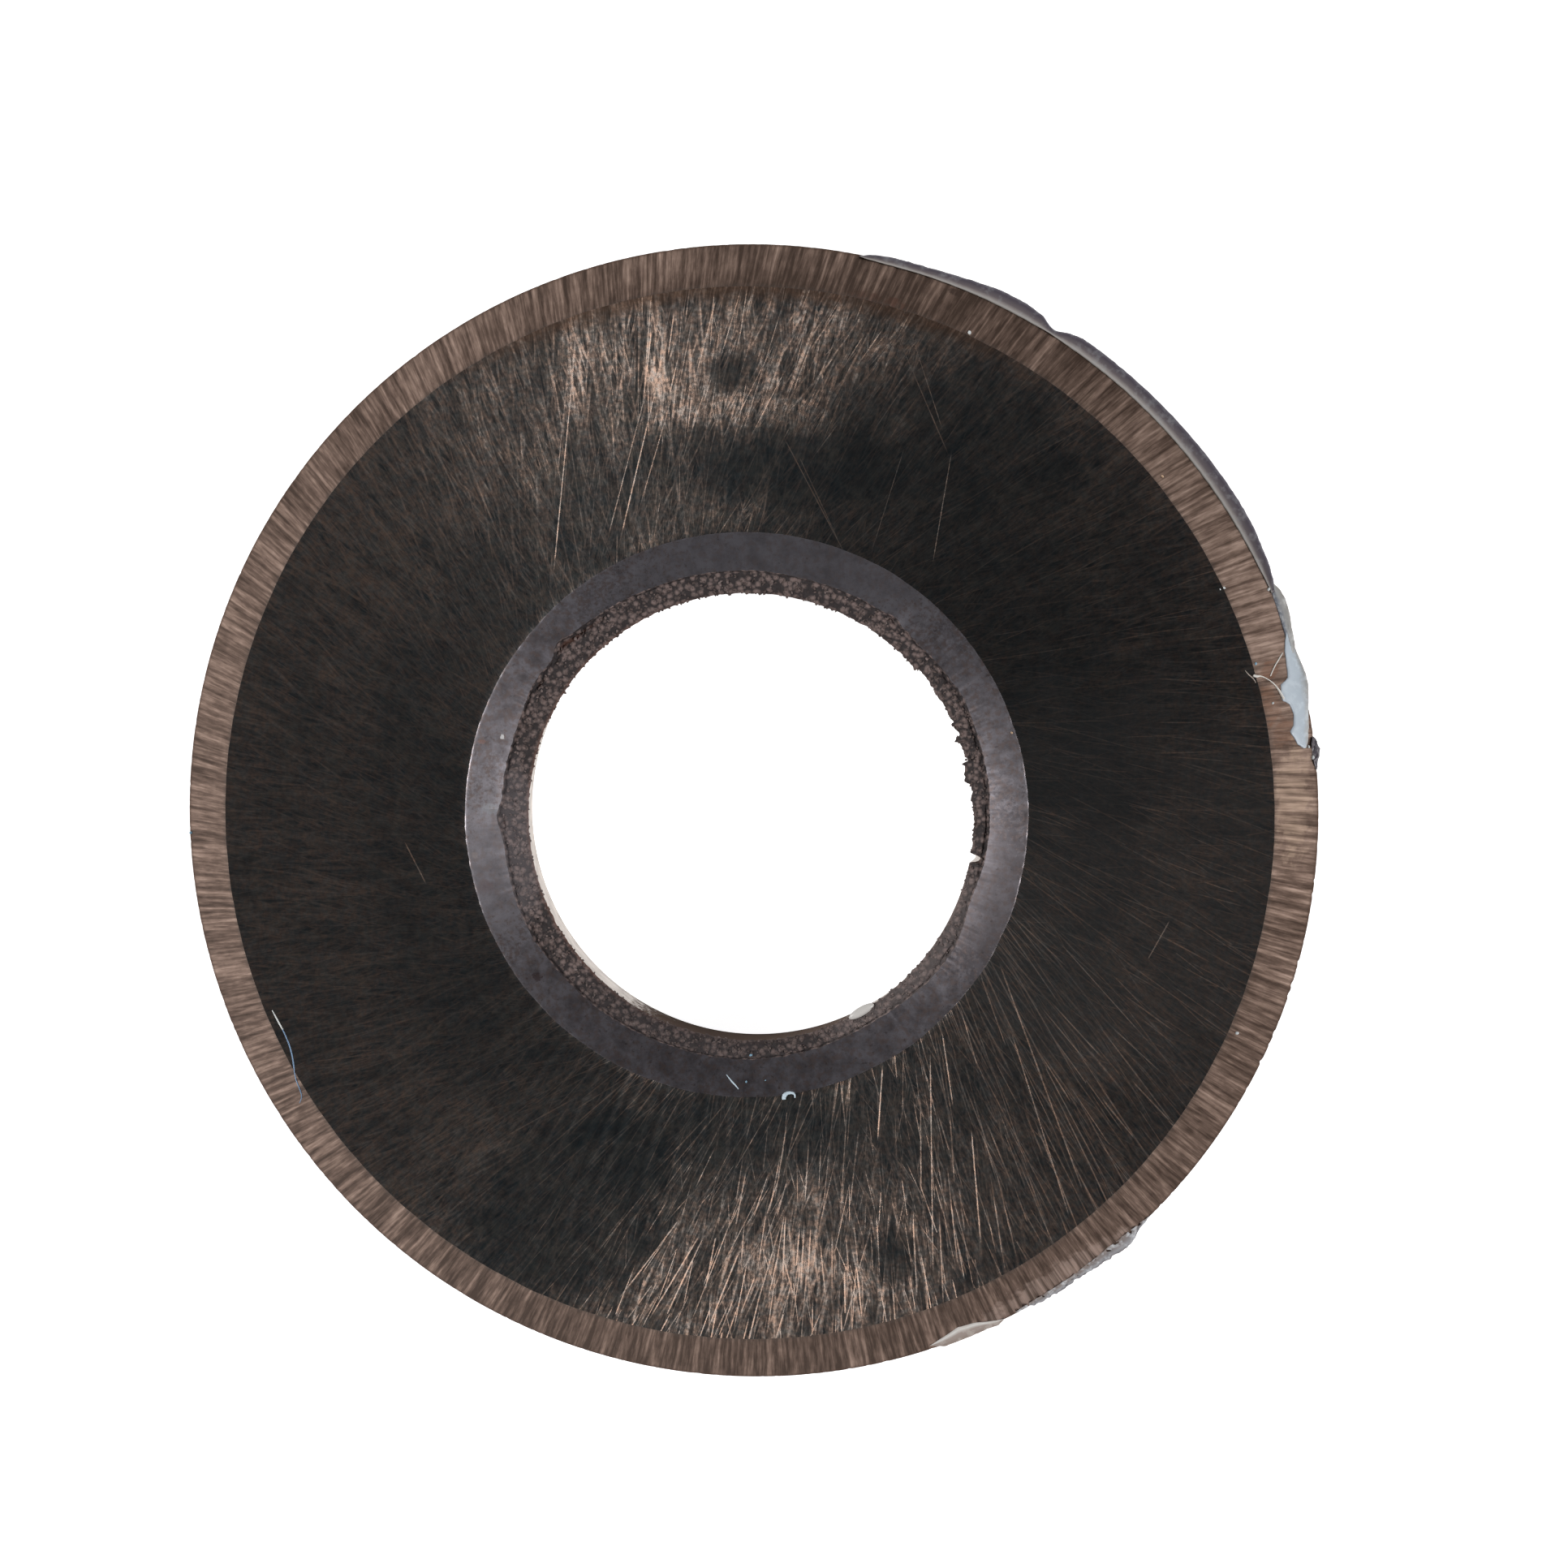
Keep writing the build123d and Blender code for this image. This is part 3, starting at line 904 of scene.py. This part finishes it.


# The bead's colours across it paint a highlight near its inner side and a dark reflection along its
# outer part.
rim_strip(
    "sealant_bead",
    {23.0: 7.47, 26: 7.455, 30: 7.45, 56: 7.45, 58: 7.46, 60: 7.45, 76: 7.45, 78: 7.46, 79: 7.48},
    {23.0: 7.52, 24: 7.56, 26: 7.6, 28: 7.62, 30: 7.645, 33: 7.655, 55: 7.645, 56.4: 7.6,
     57.6: 7.53, 58.3: 7.535, 59.5: 7.61, 61.5: 7.645, 64.5: 7.645, 68: 7.6, 72: 7.565,
     76: 7.56, 78: 7.53, 79: 7.485},
    0.035, 0.008,
    residue_material(
        "clear_dried_sealant",
        ((0.0, "6f6660"), (0.12, "a8a4a0"), (0.24, "928b88"), (0.42, "686062"), (0.8, "4e4850"),
         (1.0, "66616a")),
        "a9abad", 0.25,
    ),
)
rim_strip(
    "sealant_lobe",
    {16.6: 7.44, 18: 7.44, 19: 7.445, 21.1: 7.46, 24: 7.48},
    {16.6: 7.5, 17.5: 7.53, 19.1: 7.556, 20.2: 7.59, 22.0: 7.61, 23.0: 7.59, 24: 7.54},
    0.022, 0.006,
    residue_material(
        "cloudy_dried_sealant",
        ((0.0, "5f626c"), (0.25, "7d8088"), (0.5, "aeadac"), (1.0, "98948f")), "c6c5c3", 0.7,
    ),
)
rim_strip(
    "sealant_smear",
    {6.9: 7.36, 7.4: 7.29, 8.3: 7.25, 8.8: 7.215, 9.4: 7.275, 10.5: 7.3, 11.7: 7.27, 12.2: 7.19,
     13.0: 7.2, 13.9: 7.22, 14.2: 7.32, 15: 7.34, 17: 7.375, 18: 7.42, 18.8: 7.47},
    {6.9: 7.4, 7.5: 7.43, 8.8: 7.46, 10.2: 7.485, 11.6: 7.52, 13.1: 7.56, 14.4: 7.56,
     15.9: 7.53, 17.0: 7.515, 18.0: 7.495, 18.8: 7.48},
    0.022, 0.006,
    residue_material(
        "whitish_dried_sealant",
        ((0.0, "a3abb4"), (0.2, "c0cad3"), (0.7, "b4bec7"), (1.0, "a5a29e")), "cfd8df", 0.5,
    ),
)
rim_strip(
    "sealant_flake",
    {288.6: 7.45, 290.6: 7.385, 292.0: 7.34, 293.8: 7.37, 295.8: 7.465, 296.6: 7.49},
    {288.6: 7.455, 290.0: 7.525, 292.8: 7.527, 294.6: 7.522, 295.8: 7.54, 296.6: 7.5},
    0.012, 0.008,
    residue_material(
        "brittle_sealant_flake",
        ((0.0, "b9b3ae"), (0.2, "dbd8d3"), (0.45, "a1928a"), (1.0, "93857c")), "cdc4bc", 0.5,
    ),
)
rim_strip(
    "sealant_film",
    {298.0: 7.47, 301: 7.455, 305: 7.45, 309: 7.44, 312: 7.45, 315: 7.49},
    {298.0: 7.485, 299: 7.5, 301: 7.53, 303: 7.54, 305: 7.535, 308: 7.56, 309.5: 7.57,
     311: 7.61, 312: 7.58, 313: 7.54, 315: 7.5},
    0.016, 0.03,
    residue_material(
        "crumbly_sealant_film",
        ((0.0, "8d817b"), (0.4, "8c8482"), (0.75, "a3a2a5"), (1.0, "7a7476")), "cfd1d4", 0.8,
    ),
)
rim_strip(
    "grinding_crumb",
    {4.6: 7.49, 5.4: 7.465, 7.0: 7.46, 7.9: 7.48},
    {4.6: 7.5, 5.2: 7.525, 5.9: 7.55, 6.6: 7.56, 7.3: 7.545, 7.9: 7.51},
    0.026, 0.03,
    residue_material(
        "dark_grinding_crumb",
        ((0.0, "6a6264"), (0.5, "575057"), (1.0, "4b4549")), "8d8a92", 0.5,
    ),
)

# Thin strings pulled out of the smear, a bent textile fibre and two plastic shavings. Each one is
# a round thread that tapers, given as points with its thickness as a share of the fullest.
def plain_material(name, hex_value, roughness):
    """A material of one colour."""
    material, tree = new_material(name)
    surfaced(tree, {"Base Color": hex_value, "Roughness": roughness})
    return material


def strand(name, thickness, points, material):
    """A thread that lies on the wheel's upper side."""
    curve = bpy.data.curves.new(name, "CURVE")
    curve.dimensions = "3D"
    curve.bevel_depth = thickness / 2 * mm
    curve.bevel_resolution = 2
    curve.use_fill_caps = True
    curve.resolution_u = 6
    spline = curve.splines.new("NURBS")
    spline.points.add(len(points) - 1)
    for point, (x, y, share) in zip(spline.points, points):
        height = on_side(x, y) + 0.15 * thickness * share
        point.co = (x * mm, y * mm, height * mm, 1)
        point.radius = share
    spline.order_u = 3
    spline.use_endpoint_u = True
    curve.materials.append(material)
    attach(placed(name, curve), "root")


string_material = plain_material("dried_sealant_string", "d9d4cc", 0.4)
strand(
    "sealant_string_long", 0.034,
    ((6.67, 1.86, 1.0), (6.7, 1.84, 1.2), (6.76, 1.85, 0.5), (6.84, 1.81, 0.4),
     (6.92, 1.75, 0.5), (6.99, 1.66, 0.9), (7.05, 1.54, 1.2)),
    string_material,
)
strand(
    "sealant_string_short", 0.02,
    ((6.88, 1.84, 0.8), (6.92, 1.95, 1.0), (6.98, 2.05, 1.0), (7.03, 2.14, 0.8)),
    string_material,
)
strand(
    "sealant_tuft", 0.018,
    ((6.56, 1.92, 0.4), (6.61, 1.86, 1.0), (6.67, 1.82, 0.9), (6.7, 1.76, 0.4)),
    plain_material("dried_sealant_tuft", "a3968c", 0.5),
)
strand(
    "lint_fibre_end", 0.02,
    ((-6.33, -2.64, 0.6), (-6.27, -2.75, 1.0), (-6.215, -2.853, 1.1), (-6.19, -2.895, 0.8)),
    plain_material("white_lint", "e0e2e0", 0.7),
)
strand(
    "lint_fibre", 0.018,
    ((-6.195, -2.885, 0.8), (-6.128, -3.029, 1.0), (-6.088, -3.145, 1.0), (-6.059, -3.262, 1.0),
     (-6.04, -3.417, 1.0), (-6.021, -3.573, 0.9), (-5.972, -3.69, 0.8), (-5.942, -3.807, 0.7),
     (-5.992, -3.884, 0.4)),
    plain_material("blue_lint", "7d97b4", 0.7),
)
shaving_material = plain_material("pale_plastic_shaving", "c6d6e0", 0.5)
strand(
    "shaving_straight", 0.022,
    ((-0.26, -3.43, 0.3), (-0.2, -3.51, 1.0), (-0.13, -3.58, 0.9), (-0.1, -3.62, 0.4)),
    shaving_material,
)
strand(
    "shaving_curled", 0.046,
    ((0.5, -3.75, 1.1), (0.5, -3.7, 1.3), (0.55, -3.665, 1.0), (0.61, -3.66, 0.8),
     (0.65, -3.69, 0.5), (0.645, -3.73, 0.3)),
    shaving_material,
)

# Grains of dust that stick to the wheel: where they sit, their radius and their material.
dust_materials = (
    plain_material("white_dust", "cdd1d0", 0.6),
    plain_material("blue_dust", "7fa3b8", 0.6),
    plain_material("tan_dust", "c0a183", 0.6),
)
dust = bmesh.new()
for x, y, radius, tone in (
    (6.281, 3.005, 0.02, 0), (6.839, 2.97, 0.026, 0), (6.917, 1.488, 0.02, 0),
    (7.373, 0.901, 0.022, 0), (7.428, 0.758, 0.03, 0), (6.454, -2.857, 0.028, 0),
    (5.461, 4.464, 0.022, 2), (2.923, 6.345, 0.03, 0), (6.23, 2.985, 0.012, 0),
    (6.696, 2.009, 0.022, 1), (-7.48, -0.318, 0.024, 1), (0.002, -3.521, 0.016, 1),
    (0.061, -3.172, 0.022, 1), (0.255, -3.502, 0.01, 1), (3.508, 1.1, 0.018, 2),
    (6.985, 2.06, 0.012, 0),
):
    place = Matrix.Translation(Vector((x, y, on_side(x, y) + 0.3 * radius)) * mm)
    squeezed = Matrix.Diagonal((1.0, 0.75, 0.6, 1.0))
    made = bmesh.ops.create_icosphere(
        dust, subdivisions=2, radius=radius * mm,
        matrix=place @ Matrix.Rotation(9 * x + 5 * y, 4, "Z") @ squeezed,
    )
    for face in {face for vertex in made["verts"] for face in vertex.link_faces}:
        face.material_index = tone
dust_mesh = bpy.data.meshes.new("stuck_dust")
dust.to_mesh(dust_mesh)
dust.free()
for material in dust_materials:
    dust_mesh.materials.append(material)
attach(placed("stuck_dust", dust_mesh), "root")

# A drop of sealant that has dried clear on the bore's edge.
drop_centre = (1.52, -2.585)
drop_half_sizes = (0.19, 0.062, 0.05)
drop = bmesh.new()
bmesh.ops.create_icosphere(
    drop, subdivisions=3, radius=mm,
    matrix=Matrix.Translation(Vector((*drop_centre, half_thickness - 0.06)) * mm)
    @ Matrix.Rotation(atan2(*reversed(drop_centre)) + pi / 2, 4, "Z")
    @ Matrix.Diagonal((*drop_half_sizes, 1.0)),
)
for face in drop.faces:
    face.smooth = True
drop_mesh = bpy.data.meshes.new("sealant_drop")
drop.to_mesh(drop_mesh)
drop.free()
drop_mesh.materials.append(plain_material("clear_sealant_drop", "cfcbc6", 0.3))
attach(placed("sealant_drop", drop_mesh), "root")

# The studio: a white table that the camera sees as pure white, and a low even room light.
table_mesh = bpy.data.meshes.new("white_table")
table_half_side = 2.0
table_mesh.from_pydata(
    [(x * table_half_side, y * table_half_side, -half_thickness * mm)
     for x, y in ((-1, -1), (1, -1), (1, 1), (-1, 1))],
    [], [(0, 1, 2, 3)],
)
table = placed("white_table", table_mesh)
table_material, tree = new_material("white_table_paper")
seen = add(tree, "LightPath")
table_glow = 0.94
glow = 0.0
for ray in ("Camera", "Glossy", "Transmission"):
    seen_by_ray = seen.outputs[f"Is {ray} Ray"]
    glow = add(tree, "Math", [seen_by_ray, table_glow, glow], operation="MULTIPLY_ADD")
surfaced(tree, {
    "Base Color": "e6e6e6", "Roughness": 0.9, "Specular IOR Level": 0.1,
    "Emission Color": "ffffff", "Emission Strength": glow,
})
table_mesh.materials.append(table_material)

# The room's walls are white up to one elevation in degrees, and grey from the next one on.
white_up_to = 5
grey_from = 22
world = bpy.data.worlds.new("studio_room")
bpy.context.scene.world = world
world.use_nodes = True
tree = world.node_tree
tree.nodes.clear()
seen = add(tree, "LightPath")
towards = add(tree, "SeparateXYZ", [add(tree, "TexCoord").outputs["Generated"]])
wall_share = add(
    tree, "MapRange", [towards.outputs["Z"], sin(radians(grey_from)), sin(radians(white_up_to))],
    interpolation_type="SMOOTHSTEP",
)
backdrop_share = add(tree, "Math", [wall_share, seen.outputs["Is Camera Ray"]], operation="MAXIMUM")
room_light = add(tree, "MapRange", [towards.outputs["X"], -0.35, 0.15, 1.15, 0.8])
room = add(tree, "Background", {"Color": "606164", "Strength": room_light})
backdrop = add(tree, "Background", {"Color": "ffffff", "Strength": 1.0})
choice = add(tree, "MixShader", [backdrop_share, room, backdrop])
add(tree, "OutputWorld", [choice])

# Two square softboxes look at the wheel. Their power follows from the radiance they give.
softbox_elevation = 35
softbox_side = 160
softbox_distance = 600
softbox_radiance = 28.0
for name, azimuth in (("softbox_left", 176), ("softbox_right", 348)):
    lamp = bpy.data.lights.new(name, "AREA")
    lamp.shape = "SQUARE"
    lamp.size = softbox_side * mm
    lamp.energy = softbox_radiance * pi * (softbox_side * mm) ** 2
    softbox = placed(name, lamp)
    towards = direction_to(azimuth, softbox_elevation)
    softbox.location = towards * softbox_distance * mm
    softbox.rotation_euler = towards.to_track_quat("Z", "Y").to_euler()
    softbox.visible_camera = False

bpy.context.scene.view_settings.view_transform = "Standard"
